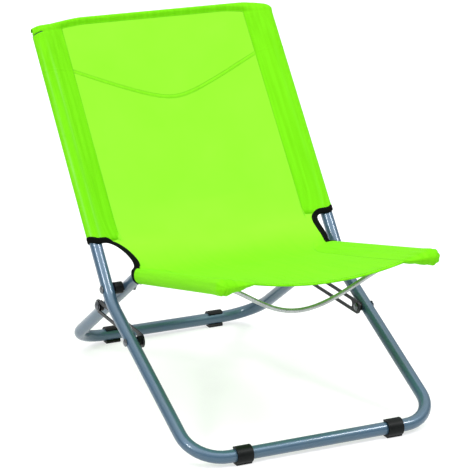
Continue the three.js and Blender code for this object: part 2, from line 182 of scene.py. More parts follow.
def head_line(x):
    """Along the backrest, the headrest seam's middle at x."""
    climb = HEAD_SEAM_SLOPE * np.minimum(np.abs(x), BACK_SEAM + HEAD_SEAM_PAST)
    return HEAD_SEAM_LOW + np.sqrt(HEAD_SEAM_BEND**2 + climb**2) - HEAD_SEAM_BEND


def tangent_angle(gap):
    """Angle round a tube, from outside towards the sitter, where cloth from a seam this far in leaves it."""
    return math.pi / 2 + math.asin(WRAP_R / gap)


# Column parameters for x >= 0: panel (0 middle to 1 seam), sleeve face, wrap round the tube, sleeve return.
PANEL = np.concatenate([np.linspace(0, 0.955, 30), [0.972, 0.985, 0.993, 1.0]])
FACE = np.concatenate([[0.04, 0.09, 0.16], np.linspace(0.25, 1.0, 9)])
WRAP = np.linspace(0, 1, 19)[1:]
RETURN = np.linspace(0, 1, 10)[1:]
N_PANEL, N_FACE, N_WRAP, N_RETURN = len(PANEL), len(FACE), len(WRAP), len(RETURN)
I_SEAM = N_PANEL - 1
I_EDGE = I_SEAM + N_FACE  # the cloth meets the tube, or is cut, in this column
I_SIDE = I_EDGE + N_WRAP // 2
I_BACK = I_EDGE + N_WRAP
HALF = I_BACK + N_RETURN + 1


def sleeve_row(place, along, centre_proud, tube_x, seam_x):
    """One row of the half sling where it has a sleeve: panel, face, round the tube and back to the seam."""
    turn = tangent_angle(tube_x - seam_x)
    along = np.broadcast_to(along, (HALF,))
    x, proud = np.zeros(HALF), np.zeros(HALF)
    x[:N_PANEL] = PANEL * seam_x
    proud[:N_PANEL] = centre_proud * (1 - PANEL**2)
    edge_x, edge_proud = tube_x + WRAP_R * math.cos(turn), WRAP_R * math.sin(turn)
    x[N_PANEL : I_EDGE + 1] = seam_x + (edge_x - seam_x) * FACE
    proud[N_PANEL : I_EDGE + 1] = edge_proud * FACE
    angle = turn * (1 - 2 * WRAP)
    x[I_EDGE + 1 : I_BACK + 1] = tube_x + WRAP_R * np.cos(angle)
    proud[I_EDGE + 1 : I_BACK + 1] = WRAP_R * np.sin(angle)
    x[I_BACK + 1 :] = edge_x + (seam_x - RETURN_INSET - edge_x) * RETURN
    proud[I_BACK + 1 :] = -edge_proud + (edge_proud - LAYER_GAP) * RETURN
    return place(x, along, proud)


def lean():
    """How far a sleeve's end is pulled towards the hips: 1 on the tube's inner side, down to 0 outside."""
    share = np.zeros(HALF)
    share[N_PANEL : I_EDGE + 1] = FACE
    share[I_EDGE + 1 : I_SIDE + 1] = np.cos(np.pi * WRAP[: I_SIDE - I_EDGE]) ** 2
    return share


def row_columns(tube_x, seam_x):
    """The x of each column on a sleeved row."""
    return sleeve_row(lambda x, along, proud: x, 0.0, 0.0, tube_x, seam_x)


def arc_proud(before):
    """How far the middle stands proud of its line, this far into the arc."""
    into = np.clip(before, 0.0, None)
    return ARC_R - np.sqrt(ARC_R**2 - into**2)


def back_rows():
    """Rows from below the top bow down to the sleeves' ends, gathered round the headrest seam."""
    x = row_columns(BACK_X, BACK_SEAM)
    top, head = hem_line(x) - HEM_FLAP, head_line(x)
    steps = [top - CORNER_SLIT]
    for t in np.linspace(0, 1, ABOVE_HEAD + 2)[1:-1]:
        steps.append(top + (head + HEAD_OFFSETS[0] - top) * t)
    for offset in HEAD_OFFSETS:
        steps.append(head + offset)
    for offset in reversed(HEAD_OFFSETS):
        steps.append(head - offset)
    ring = BACK_RING - BACK_LEAN * lean()
    for t in np.linspace(0, 1, BELOW_HEAD + 1)[1:]:
        steps.append(head - HEAD_OFFSETS[0] + (ring - head + HEAD_OFFSETS[0]) * t)
    rows = []
    for along in [top, *steps]:
        middle_along = along[0]
        reach = (BACK_TOP - middle_along) / (BACK_TOP - BACK_RING)
        sag = BACK_SAG * math.sin(math.pi * min(max(reach, 0), 1)) ** 2
        proud = arc_proud(ARC_FROM - middle_along) - sag
        rows.append(sleeve_row(back_at, along, proud, BACK_X, BACK_SEAM))
    return rows


def seat_sag(along):
    """How far the seat's middle stands proud: a little behind, and well below the rails in front."""
    share = smooth((along - SEAT_SAG_FROM) / (SEAT_FRONT - SEAT_SAG_FROM))
    return SEAT_RISE - (SEAT_RISE + SEAT_SAG) * share


def seat_rows():
    """Rows from the seat sleeves' ends to the front edge."""
    rows = []
    ring = SEAT_RING - SEAT_LEAN * lean()
    for t in np.linspace(0, 1, SEAT_ROWS):
        along = ring + (SEAT_FRONT - ring) * t
        proud = seat_sag(along[0]) + arc_proud(ARC_TO - along[0])
        rows.append(sleeve_row(seat_at, along, proud, SEAT_X, SEAT_SEAM))
    return rows


def bezier(points, t):
    a, b, c, d = points
    return a * (1 - t) ** 3 + 3 * b * t * (1 - t) ** 2 + 3 * c * t * t * (1 - t) + d * t**3


def hip_rows(first, last):
    """Rows between the cut-outs; first and last are the sleeved rows beside them."""
    corners = (first[I_EDGE], back_at(*CUT_BACK), seat_at(*CUT_SEAT), last[I_EDGE])
    from_angle = math.asin((ARC_FROM - BACK_RING) / ARC_R)
    to_angle = ARC_TURN - math.asin((ARC_TO - SEAT_RING) / ARC_R)
    hub = back_at(0.0, ARC_FROM, ARC_R)
    down = -back_step(1.0, 0.0)
    inward = -back_step(0.0, 1.0)
    open_margin = bezier(corners, CUT_FROM)[0] - first[I_SEAM][0]
    rows = []
    for t in np.linspace(0, 1, HIP_ROWS + 2)[1:-1]:
        angle = from_angle + (to_angle - from_angle) * t
        centre = hub + ARC_R * (math.cos(angle) * inward + math.sin(angle) * down)
        edge = bezier(corners, CUT_FROM + (1 - CUT_FROM) * t)
        face = (edge[0] - first[I_SEAM][0]) / (first[I_EDGE][0] - first[I_SEAM][0])
        below_face = (first[I_SEAM] + (first[I_EDGE] - first[I_SEAM]) * face - edge) @ -inward
        edge = edge - inward * max(0.0, below_face) * smooth(1 - t / TAKE_OFF)
        near_start = max(0.0, 1 - MARGIN_FADE * t)
        near_end = max(0.0, 1 - MARGIN_FADE * (1 - t))
        margin = CUT_MARGIN
        margin += (open_margin - CUT_MARGIN) * near_start**1.5
        margin += (last[I_EDGE][0] - last[I_SEAM][0] - CUT_MARGIN) * near_end**1.5
        seam_x = edge[0] - margin
        seam = centre + (edge - centre) * (seam_x / edge[0]) ** 2
        for row, weight in ((first, (1 - t) ** 3), (last, t**3)):
            even = row[0] + (row[I_EDGE] - row[0]) * (row[I_SEAM][0] / row[I_EDGE][0]) ** 2
            seam = seam + (row[I_SEAM] - even) * weight
        seam[0] = seam_x
        points = np.full((HALF, 3), np.nan)
        points[:N_PANEL] = centre + (seam - centre) * (PANEL**2)[:, None]
        points[:N_PANEL, 0] = PANEL * seam_x
        points[N_PANEL : I_EDGE + 1] = seam + (edge - seam) * FACE[:, None]
        rows.append(points)
    return rows


def round_corner(hip, seat):
    """Rounds the cut-out's corner where its edge meets the seat sleeve's end."""
    ring = range(I_EDGE, I_SIDE + 1)
    edge = np.array([row[I_EDGE] for row in hip[-CORNER_REACH:]] + [seat[0][k] for k in ring])
    change = eased(edge, CORNER_ROUNDS) - edge
    forward = seat_step(1.0, 0.0)
    for row, shift in zip(hip[-CORNER_REACH:], change):
        row[N_PANEL : I_EDGE + 1] += shift * FACE[:, None]
    for back_by, row in enumerate(seat[:CORNER_REACH]):
        fade = smooth(1 - back_by / CORNER_REACH)
        for k, shift in zip(ring, change[CORNER_REACH:]):
            row[k] += (shift @ forward) * fade * forward
        row[N_PANEL:I_EDGE] += (change[CORNER_REACH] @ forward) * fade * FACE[:-1, None] * forward


def hem_rows():
    """Rows from the top bow's stitching behind, over the bow, down to the stitching in front."""
    x = row_columns(BACK_X, BACK_SEAM)
    face = sleeve_row(lambda x, along, proud: proud, 0.0, 0.0, BACK_X, BACK_SEAM)
    line = hem_line(x)
    rows = []
    front = np.maximum(face, 0.0)
    for t in np.linspace(0, 1, HEM_BACK_ROWS):
        rows.append(back_at(x, line - HEM_FLAP * (1 - t), -LAYER_GAP - (HEM_R - LAYER_GAP) * smooth(t)))
    for angle in np.linspace(-90, 90, HEM_ARC_ROWS + 1)[1:]:
        a = math.radians(angle)
        ease = smooth((angle + 90) / 180)
        proud = HEM_R * math.sin(a) + (np.maximum(front, HEM_R) - HEM_R) * ease * (x > BACK_SEAM)
        rows.append(back_at(x, line + HEM_R * math.cos(a), proud))
    for t in (0.35, 0.7):
        start = np.where(x > BACK_SEAM, np.maximum(front, HEM_R), HEM_R)
        rows.append(back_at(x, line - HEM_FLAP * t, start + (front - start) * smooth(t)))
    rows = [np.where((np.arange(HALF) <= I_SIDE)[:, None], row, np.nan) for row in rows]
    flap = [np.where((x < FLAP_ENDS)[:, None], row, np.nan) for row in rows[: HEM_BACK_ROWS - 1]]
    return flap + rows[HEM_BACK_ROWS - 1 :]


def pocket_rows(last):
    """The closed sleeve ends over the seat rails' ends, on from the last row, without the panel."""
    rows = []
    axis_x = np.clip(last[:, 0], -SEAT_X, SEAT_X)
    offset = last - seat_at(axis_x, SEAT_FRONT, 0.0)
    for lift in (0.25, 0.5, 0.7, 0.85, 0.95, 1.0):
        keep = max((1 - lift**1.5) ** 0.6, POCKET_TIP)
        row = seat_at(axis_x, SEAT_FRONT + POCKET_END * lift, 0.0) + offset * keep
        row[CENTRE - I_SEAM + 1 : CENTRE + I_SEAM] = np.nan
        rows.append(row)
    return rows


def front_hem_rows(last):
    """The front edge turned under, on from the last row: only panel columns."""
    rows = []
    profile = ((0.0012, 0.0006), (0.0012, 0.0019), (0.0, 0.0025), (-0.005, 0.0027), (-0.011, 0.0027))
    for forward, drop in profile:
        row = last + seat_step(forward, -drop)
        row[: CENTRE - I_SEAM] = np.nan
        row[CENTRE + I_SEAM + 1 :] = np.nan
        rows.append(row)
    return rows


# ---------------------------------------------------------------- one grid for the whole sling

hem = hem_rows()
back = back_rows()
seat = seat_rows()
hip = hip_rows(back[-1], seat[0])
round_corner(hip, seat)
main_rows = hem + back + hip + seat
R_BACK = len(hem)
R_HIP = R_BACK + len(back)
R_SEAT = R_HIP + len(hip)
R_FRONT = R_SEAT + len(seat) - 1


def both_sides(rows):
    """Half rows, x >= 0, as full rows from the -X side to the +X side."""
    half = np.array(rows)
    mirrored = half[:, :0:-1] * np.array([-1.0, 1.0, 1.0])
    return np.concatenate([mirrored, half], 1)


grid = both_sides(main_rows)
CENTRE = HALF - 1


def ease_rows(points, middle_row, fade_columns):
    """Rounds the panel's bend at a row, less and less over this many columns from the seams outward."""
    reach = EASE_REACH
    far = np.abs(np.arange(CENTRE * 2 + 1) - CENTRE)
    hold = np.clip(1 - (far - I_SEAM + 2) / fade_columns, 0, 1)[None, :, None]
    span = slice(middle_row - reach, middle_row + reach + 1)
    fade = np.cos(np.linspace(-math.pi / 2, math.pi / 2, 2 * reach + 1))[:, None, None]
    before = slice(span.start - 1, span.stop - 1)
    after = slice(span.start + 1, span.stop + 1)
    for _ in range(EASE_ROUNDS):
        around = (points[before] + points[after]) / 2
        change = np.nan_to_num((around - points[span]) * hold * fade)
        points[span] = points[span] + 0.8 * change


# On the -X side the hem follows the bow's shoulder closely. On the other it stays up, looser and squarer.
shoulder_x = np.abs(grid[R_BACK, :, 0])
shoulder = SHOULDER_FALL * np.clip((shoulder_x - SHOULDER_FROM) / SHOULDER_OVER, 0, 1) ** 1.3
shoulder -= BACK_TOP + HEM_RISE - hem_line(shoulder_x)
row_number = np.arange(grid.shape[0])
right_side = np.arange(grid.shape[1]) < CENTRE
fading = 1 - smooth((row_number - R_BACK - 1) / 10)
beside_top = smooth(np.abs(row_number - HEM_TOP_ROW) / HEM_TOP_REACH)
follows = np.where(right_side, 1.0, beside_top[:, None])
drop = shoulder[None, :] * fading[:, None] * follows
grid = grid - drop[:, :, None] * back_step(1.0, 0.0)

ease_rows(grid, R_HIP, 4)
ease_rows(grid, R_SEAT, N_FACE + 1)


def lengths(points, axis):
    """Running length along an axis of the grid, where nan steps count as nothing."""
    step = np.linalg.norm(np.diff(points, axis=axis), axis=2)
    step = np.nan_to_num(step)
    pad = [(0, 0), (0, 0)]
    pad[axis] = (1, 0)
    return np.cumsum(np.pad(step, pad), axis)


def normals(points):
    """Unit normals towards the sitter, from neighbours that exist."""

    def slope(axis):
        forward = np.full_like(points, np.nan)
        backward = np.full_like(points, np.nan)
        cut = [slice(None)] * 3
        rest = [slice(None)] * 3
        cut[axis], rest[axis] = slice(0, -1), slice(1, None)
        difference = np.diff(points, axis=axis)
        forward[tuple(cut)] = difference
        backward[tuple(rest)] = difference
        even = np.where(np.isnan(backward), forward, (forward + backward) / 2)
        return np.where(np.isnan(forward), backward, even)

    across, down = slope(1), slope(0)
    normal = np.cross(down, across)
    size = np.linalg.norm(normal, axis=2, keepdims=True)
    return np.nan_to_num(normal / np.where(size > 1e-12, size, 1.0))


def field(u, v, seed, width_u, width_v):
    """Smooth noise from -1 to 1 over the cloth, with features this wide across and along."""
    out = np.zeros(u.shape)
    for index in np.ndindex(u.shape):
        out[index] = noise.noise(Vector((u[index] / width_u, v[index] / width_v, seed)))
    return out


flat_u = lengths(grid, 1)
flat_u = flat_u - flat_u[:, CENTRE : CENTRE + 1]
flat_v = lengths(np.nan_to_num(grid[:, CENTRE - I_SEAM : CENTRE + I_SEAM + 1]), 0)[:, I_SEAM : I_SEAM + 1]
flat_v = np.broadcast_to(flat_v, flat_u.shape)
flat_u[: R_HIP - 6] = flat_u[R_HIP - 6]

columns = np.abs(np.arange(grid.shape[1]) - CENTRE)
on_panel = smooth(1 - (columns - 0.75 * I_SEAM) / (0.25 * I_SEAM))[None, :]
face_arch = np.sin(np.pi * (columns - I_SEAM) / N_FACE)
return_arch = np.sin(np.pi * (columns - I_BACK) / (N_RETURN + 3))
on_face = np.where((columns > I_SEAM) & (columns < I_EDGE), face_arch, 0.0)[None, :]
on_return = np.where(columns > I_BACK, return_arch, 0.0)[None, :]
below_hem = smooth((row_number - R_BACK - 1) / 5)[:, None]
sleeved = np.where((row_number >= R_HIP) & (row_number < R_SEAT), 0.35, 1.0)[:, None]
before_front = smooth((R_FRONT + 1 - row_number) / 4)[:, None]

swell = 0.0011 * field(flat_u, flat_v, 3.1, 0.16, 0.22) * np.maximum(on_panel, 0)
creases = 0.0007 * field(flat_u, flat_v, 7.7, 0.010, 0.11) + 0.0004 * field(flat_u, flat_v, 9.2, 0.022, 0.05)
lift = (swell + creases * (on_face + on_return) * sleeved) * below_hem * before_front

# Stitched lines sit a little below the cloth beside them, and the headrest's lapped band a little above it.
SEAM_SINK = 0.00035
BAND_SINK = 0.0003
BAND_RISE = 0.0005
HEM_SINK = 0.0004
HEM_LIFT = 0.0006
R_HEAD = R_BACK + 2 + ABOVE_HEAD + HEAD_OFFSETS.index(HEAD_SEAM_HALF)  # the band's upper stitching
R_HEAD_LOW = R_HEAD + 3  # and its lower
lift[:R_HIP, [CENTRE - I_SEAM, CENTRE + I_SEAM]] -= SEAM_SINK
lift[R_SEAT:, [CENTRE - I_SEAM, CENTRE + I_SEAM]] -= SEAM_SINK
in_band = np.where(columns <= I_SEAM, 1.0, 0.5) * (columns <= I_SIDE)
lift[[R_HEAD, R_HEAD_LOW]] -= BAND_SINK * in_band
lift[R_HEAD + 1 : R_HEAD_LOW] += BAND_RISE * in_band
lift[R_BACK] -= HEM_SINK * (columns <= I_SIDE)
lift[R_BACK - 1] += HEM_LIFT * (columns > I_SEAM)

# Gathers in the sleeves towards their closed front ends.
GATHER_ROWS = 6
GATHER_HEIGHT = 0.0017
near_front = smooth((row_number - (R_FRONT - GATHER_ROWS)) / GATHER_ROWS)
gathered = near_front[:, None] * (row_number <= R_FRONT)[:, None]
ridge = 0.5 + 0.5 * np.sin((columns - I_SEAM) * 1.55 + 1.3 * np.sign(np.arange(len(columns)) - CENTRE))
round_end = ((columns > I_SEAM) & (columns < HALF - 2)) * GATHER_HEIGHT * ridge
lift = lift + gathered * round_end[None, :]
grid = grid + normals(grid) * lift[:, :, None]


def add_mesh(name, vertices, faces, material, attributes=()):
    mesh = bpy.data.meshes.new(name)
    mesh.from_pydata([tuple(map(float, v)) for v in vertices], [], [tuple(map(int, f)) for f in faces])
    for label, kind, values in attributes:
        data = mesh.attributes.new(label, kind, "POINT").data
        key = "vector" if kind == "FLOAT_VECTOR" else "value"
        data.foreach_set(key, np.asarray(values, np.float32).ravel())
    mesh.polygons.foreach_set("use_smooth", [True] * len(mesh.polygons))
    mesh.materials.append(material)
    piece = bpy.data.objects.new(name, mesh)
    bpy.context.scene.collection.objects.link(piece)
    return piece


def grid_faces(valid, first):
    """Quads between neighbouring points that exist; first is the index of the grid's first point."""
    faces = []
    across = valid.shape[1]
    whole = valid[:-1, :-1] & valid[1:, :-1] & valid[:-1, 1:] & valid[1:, 1:]
    for i, j in np.argwhere(whole):
        corner = first + i * across + j
        faces.append((corner, corner + across, corner + across + 1, corner + 1))
    return faces


# ---------------------------------------------------------------- materials


class Finish:
    """A node material: values set on the Principled shader, and small helpers to link textures to it."""

    def __init__(self, name, color, roughness, metallic=0.0, **sockets):
        self.material = bpy.data.materials.new(name)
        self.material.use_nodes = True
        self.tree = self.material.node_tree
        self.shader = self.tree.nodes["Principled BSDF"]
        self.set(self.shader, "Base Color", (*color, 1.0))
        self.set(self.shader, "Roughness", roughness)
        self.set(self.shader, "Metallic", metallic)
        for label, value in sockets.items():
            self.set(self.shader, label.replace("_", " "), value)

    def set(self, node, label, value):
        node.inputs[label].default_value = value

    def node(self, kind, links=None, values=None, **settings):
        made = self.tree.nodes.new("ShaderNode" + kind)
        for label, value in settings.items():
            setattr(made, label, value)
        for label, value in (values or {}).items():
            made.inputs[label].default_value = value
        for label, source in (links or {}).items():
            self.tree.links.new(source, made.inputs[label])
        return made

    def place(self):
        return self.node("TexCoord").outputs["Object"]

    def attribute(self, name):
        return self.node("Attribute", attribute_name=name)

    def scaled(self, source, scale):
        return self.node("Mapping", {"Vector": source}, {"Scale": scale}).outputs["Vector"]

    def noise(self, source, scale, detail=2.0, roughness=0.5):
        values = {"Scale": scale, "Detail": detail, "Roughness": roughness}
        return self.node("TexNoise", {"Vector": source}, values).outputs["Fac"]

    def span(self, source, low, high, from_low=0.0, from_high=1.0):
        values = {"From Min": from_low, "From Max": from_high, "To Min": low, "To Max": high}
        return self.node("MapRange", {"Value": source}, values).outputs["Result"]

    def math(self, operation, *sources):
        made = self.node("Math", operation=operation)
        for socket, source in zip(made.inputs, sources):
            if isinstance(source, (int, float)):
                socket.default_value = source
            else:
                self.tree.links.new(source, socket)
        return made.outputs[0]

    def mix(self, factor, first, second):
        made = self.node("Mix", data_type="RGBA")
        self.tree.links.new(factor, made.inputs["Factor"])
        for socket, source in ((made.inputs[6], first), (made.inputs[7], second)):
            if isinstance(source, tuple):
                socket.default_value = (*source, 1.0)
            else:
                self.tree.links.new(source, socket)
        return made.outputs[2]

    def link(self, source, label):
        self.tree.links.new(source, self.shader.inputs[label])

    def bump(self, height, distance, strength=1.0, under=None):
        links = {"Height": height}
        if under is not None:
            links["Normal"] = under
        values = {"Distance": distance, "Strength": strength}
        return self.node("Bump", links, values).outputs["Normal"]


THREAD = 0.0009  # from one thread of the fabric to the next
RIB = 0.0011  # from one rib of the tape to the next


def weave(finish, cloth, thread):
    """Height of a plain weave with this thread spacing, from flat cloth coordinates."""
    part = finish.node("SeparateXYZ", {"Vector": cloth})
    across = finish.math("DIVIDE", part.outputs["X"], thread)
    along = finish.math("DIVIDE", part.outputs["Y"], thread)
    warp = finish.math("PINGPONG", across, 0.5)
    weft = finish.math("PINGPONG", along, 0.5)
    square = finish.math("ADD", finish.math("FLOOR", across), finish.math("FLOOR", along))
    over = finish.math("GREATER_THAN", finish.math("PINGPONG", square, 1.0), 0.5)
    keep_warp = finish.math("MULTIPLY", warp, over)
    keep_weft = finish.math("MULTIPLY", weft, finish.math("SUBTRACT", 1.0, over))
    return finish.math("ADD", keep_warp, keep_weft)


def fabric_finish():
    made = Finish("sling_fabric", (0.22, 0.62, 0.02), 0.75, Specular_IOR_Level=0.08)
    cloth = made.attribute("cloth").outputs["Vector"]
    layers_and_seat_shade = made.attribute("layers_and_seat_shade").outputs["Fac"]
    height = weave(made, cloth, THREAD)
    mottle = made.noise(made.scaled(cloth, (9.0, 9.0, 1.0)), 1.0, 3.0)
    single = made.mix(made.span(mottle, 0.0, 1.0, 0.3, 0.7), (0.212, 0.60, 0.018), (0.228, 0.63, 0.024))
    streaks = made.noise(made.scaled(cloth, (150.0, 7.0, 1.0)), 1.0, 3.0)
    # The deeper green of cloth lying double, also mixed over the seat as painted shade.
    double_and_seat_shade = made.mix(made.span(streaks, 0.0, 1.0, 0.35, 0.65), (0.132, 0.535, 0.001), (0.155, 0.59, 0.004))
    shade = made.span(height, 0.90, 1.0, 0.0, 0.4)
    color = made.node("Mix", data_type="RGBA", blend_type="MULTIPLY")
    color.inputs["Factor"].default_value = 1.0
    both = made.mix(layers_and_seat_shade, single, double_and_seat_shade)
    sheen = made.attribute("glint").outputs["Fac"]
    pale = made.math("MULTIPLY", sheen, made.span(streaks, 0.15, 0.6, 0.35, 0.65))
    made.tree.links.new(made.mix(pale, both, (0.27, 0.55, 0.16)), color.inputs[6])
    grey = made.node("CombineXYZ", {"X": shade, "Y": shade, "Z": shade}).outputs["Vector"]
    made.tree.links.new(grey, color.inputs[7])
    made.link(color.outputs[2], "Base Color")
    made.link(made.span(mottle, 0.7, 0.82), "Roughness")
    made.link(made.bump(height, 0.00035, 0.5), "Normal")
    return made.material


def tape_finish():
    made = Finish("edge_tape", (0.002, 0.002, 0.002), 0.8, Specular_IOR_Level=0.04)
    part = made.node("SeparateXYZ", {"Vector": made.attribute("cloth").outputs["Vector"]})
    ribs = made.math("PINGPONG", made.math("DIVIDE", part.outputs["X"], RIB), 0.5)
    tint = made.mix(made.span(ribs, 0.0, 1.0, 0.0, 0.5), (0.0006, 0.0009, 0.0006), (0.004, 0.005, 0.004))
    made.link(tint, "Base Color")
    made.link(made.bump(ribs, 0.0003, 0.6), "Normal")
    return made.material


def thread_finish(name, dark, light):
    made = Finish(name, light, 0.6, Specular_IOR_Level=0.2)
    ply = made.noise(made.place(), 2400.0, 1.0)
    made.link(made.mix(ply, dark, light), "Base Color")
    made.link(made.bump(ply, 0.0001, 0.5), "Normal")
    return made.material


def paint_finish():
    """Blue-grey metallic lacquer: fine flake, slight orange peel and light handling wear."""
    made = Finish("tube_paint", (0.06, 0.11, 0.165), 0.42, 0.3, Coat_Weight=0.5, Coat_Roughness=0.08)
    place = made.place()
    flake = made.noise(place, 1900.0, 1.0)
    cloud = made.noise(place, 22.0, 4.0, 0.6)
    tone = made.mix(made.span(flake, 0.0, 1.0, 0.3, 0.7), (0.034, 0.080, 0.132), (0.054, 0.112, 0.172))
    tone = made.mix(made.span(cloud, 0.0, 0.35, 0.4, 0.75), tone, (0.07, 0.11, 0.12))
    scratch = made.noise(made.scaled(place, (900.0, 60.0, 60.0)), 1.0, 2.0)
    worn = made.span(scratch, 0.0, 1.0, 0.70, 0.74)
    made.link(tone, "Base Color")
    rough = made.math("ADD", made.span(cloud, 0.34, 0.46), made.math("MULTIPLY", worn, 0.12))
    made.link(rough, "Roughness")
    peel = made.noise(place, 420.0, 2.0)
    made.link(made.bump(peel, 0.00006, 0.35), "Normal")
    return made.material


def plated_finish(name, tones, metallic, roughness, grain):
    """Plated steel with a fine even grain."""
    made = Finish(name, tones[1], roughness, metallic)
    place = made.place()
    lines = made.noise(made.scaled(place, (grain, grain, grain)), 1.0, 3.0)
    stain = made.noise(place, 55.0, 3.0)
    made.link(made.mix(made.span(stain, 0.0, 1.0, 0.3, 0.7), *tones), "Base Color")
    made.link(made.span(lines, roughness - 0.06, roughness + 0.1, 0.3, 0.7), "Roughness")
    made.link(made.bump(lines, 0.00005, 0.4), "Normal")
    return made.material


def edge_mask(made, radius, low, high):
    """1 on the edges of a piece, from how far a rounded normal turns from the true one."""
    rounded = made.node("Bevel", values={"Radius": radius}, samples=6).outputs["Normal"]
    true = made.node("NewGeometry").outputs["Normal"]
    dot = made.node("VectorMath", operation="DOT_PRODUCT")
    made.tree.links.new(rounded, dot.inputs[0])
    made.tree.links.new(true, dot.inputs[1])
    return made.span(dot.outputs["Value"], 1.0, 0.0, low, high)


def link_finish():
    """Black-painted strip steel, rubbed to bare metal along its edges."""
    made = Finish("link_steel", (0.02, 0.021, 0.024), 0.35, 0.4, Specular_IOR_Level=0.2)
    place = made.place()
    rub = made.noise(place, 260.0, 4.0, 0.65)
    edge = made.math("MULTIPLY", edge_mask(made, 0.0007, 0.90, 0.995), made.span(rub, 0.0, 1.0, 0.42, 0.6))
    paint = made.mix(made.span(rub, 0.0, 1.0), (0.004, 0.005, 0.006), (0.012, 0.013, 0.015))
    made.link(made.mix(edge, paint, (0.22, 0.23, 0.24)), "Base Color")
    made.link(made.math("ADD", 0.35, made.math("MULTIPLY", edge, 0.5)), "Metallic")
    made.link(made.span(rub, 0.26, 0.46), "Roughness")
    made.link(made.bump(rub, 0.0001, 0.3), "Normal")
    return made.material


def plastic_finish():
    """Moulded black plastic with a fine spark texture and edges polished by use."""
    made = Finish("black_plastic", (0.006, 0.007, 0.008), 0.42, Specular_IOR_Level=0.14)
    place = made.place()
    spark = made.noise(place, 1500.0, 2.0, 0.6)
    haze = made.noise(place, 70.0, 3.0)
    edge = edge_mask(made, 0.0006, 0.90, 0.995)
    tone = made.mix(made.span(haze, 0.0, 1.0), (0.001, 0.002, 0.002), (0.005, 0.006, 0.006))
    made.link(made.mix(made.math("MULTIPLY", edge, 0.35), tone, (0.04, 0.042, 0.045)), "Base Color")
    gloss = made.math("SUBTRACT", made.span(haze, 0.38, 0.52), made.math("MULTIPLY", edge, 0.12))
    made.link(gloss, "Roughness")
    made.link(made.bump(spark, 0.00012, 0.35), "Normal")
    return made.material


FABRIC = fabric_finish()
TAPE = tape_finish()
GREEN_THREAD = thread_finish("green_thread", (0.06, 0.30, 0.001), (0.10, 0.42, 0.004))
BLACK_THREAD = thread_finish("black_thread", (0.003, 0.003, 0.003), (0.012, 0.012, 0.012))
PAINT = paint_finish()
BRIGHT = plated_finish("bright_rod", ((0.34, 0.36, 0.36), (0.46, 0.48, 0.48)), 0.6, 0.26, 500.0)
ZINC = plated_finish("zinc_steel", ((0.09, 0.10, 0.11), (0.17, 0.18, 0.19)), 0.9, 0.30, 900.0)
LINK_STEEL = link_finish()
PLASTIC = plastic_finish()

NODE_FINISH = {
    "back_frame_tube": PAINT,
    "seat_frame_tube": PAINT,
    "top_bow_rod": BRIGHT,
    "front_bow_rod": BRIGHT,
}
SIDE_FINISH = {
    "top_bushing": PLASTIC,
    "rail_plug": PLASTIC,
    "pivot_rivet": ZINC,
    "pivot_washer": ZINC,
    "pivot_spacer": PLASTIC,
    "link": LINK_STEEL,
    "link_rivet": ZINC,
    "link_spacer": PLASTIC,
    "slot_pin": ZINC,
    "slot_spacer": PLASTIC,
    "slot_washer": ZINC,
    "front_foot": PLASTIC,
    "rear_foot": PLASTIC,
}
for stem, finish in SIDE_FINISH.items():
    for side in ("left", "right"):
        NODE_FINISH[stem + "_" + side] = finish

# The frame's meshes come with unshared points and fixed normals, so they are joined and smoothed again.
JOIN_WITHIN = 1e-5
SHARP_EDGE = math.radians(32.0)
for name, finish in NODE_FINISH.items():
    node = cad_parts[name]
    mesh = node.data
    mesh.materials.clear()
    mesh.materials.append(finish)
    mesh.polygons.foreach_set("use_smooth", [True] * len(mesh.polygons))
    for flat in ("custom_normal", "sharp_edge", "sharp_face"):
        if flat in mesh.attributes:
            mesh.attributes.remove(mesh.attributes[flat])
    node.modifiers.new("weld", "WELD").merge_threshold = JOIN_WITHIN
    node.modifiers.new("edges", "EDGE_SPLIT").split_angle = SHARP_EDGE


# ---------------------------------------------------------------- the sling

# How deep the green looks: 0 for one layer of cloth, 1 for two. On the seat it is painted shade as well: the
# seat faces the light less squarely, so painted shade deepens it from the hips forward, and its sleeves are
# painted a little lighter than the back sleeves.
toward_seat = smooth((row_number - R_HIP - 6) / (R_SEAT - R_HIP))[:, None]
layers_and_seat_shade = np.zeros(grid.shape[:2]) + 0.7 * toward_seat
layers_and_seat_shade[R_SEAT:, columns >= I_SEAM] = 0.75
layers_and_seat_shade[:R_HIP, columns >= I_SEAM] = 1.0
layers_and_seat_shade[: R_BACK + 1] = 1.0
layers_and_seat_shade[R_HEAD : R_HEAD_LOW + 1, columns <= I_SEAM] = 0.6
layers_and_seat_shade[R_HEAD : R_HEAD_LOW + 1, (columns > I_SEAM) & (columns <= I_SIDE)] = 1.2
layers_and_seat_shade[R_FRONT - 1 :] = 0.8

valid = ~np.isnan(grid[:, :, 0])
across = grid.shape[1]
main_faces = grid_faces(valid, 0)
outward_x = row_columns(BACK_X, BACK_SEAM)[columns]
slit_columns = (outward_x >= CORNER_SLIT_FROM) & (columns <= I_SIDE) & right_side


def pocket_ends(first, count):
    """Quads that close both pockets: down the seam, and between the two plies of cloth in the last row."""
    quads = []
    for side in (1, -1):
        for row in range(count - 1):
            row_middle = first + row * across + CENTRE
            seam, free = row_middle + side * I_SEAM, row_middle + side * (HALF - 1)
            quads.append((seam, free, free + across, seam + across)[::side])
    first = first + (count - 1) * across
    for side in (1, -1):
        upper, lower = I_SEAM, HALF - 1
        while upper + 1 < lower - 1:
            quad = (upper, upper + 1, lower - 1, lower)
            quads.append(tuple(first + CENTRE + side * c for c in quad[::side]))
            upper, lower = upper + 1, lower - 1
    return quads


def in_slit(face):
    """Whether a face lies where the hem and the sleeve below it are not sewn together."""
    row, column = divmod(face[0], across)
    return row == R_BACK and slit_columns[column] and slit_columns[min(column + 1, across - 1)]


main_faces = [f for f in main_faces if not in_slit(f)]

last = grid[R_FRONT].copy()
pocket = np.array([last] + pocket_rows(last))
turned = np.array([last] + front_hem_rows(last))
pocket[0][CENTRE - I_SEAM + 1 : CENTRE + I_SEAM] = np.nan

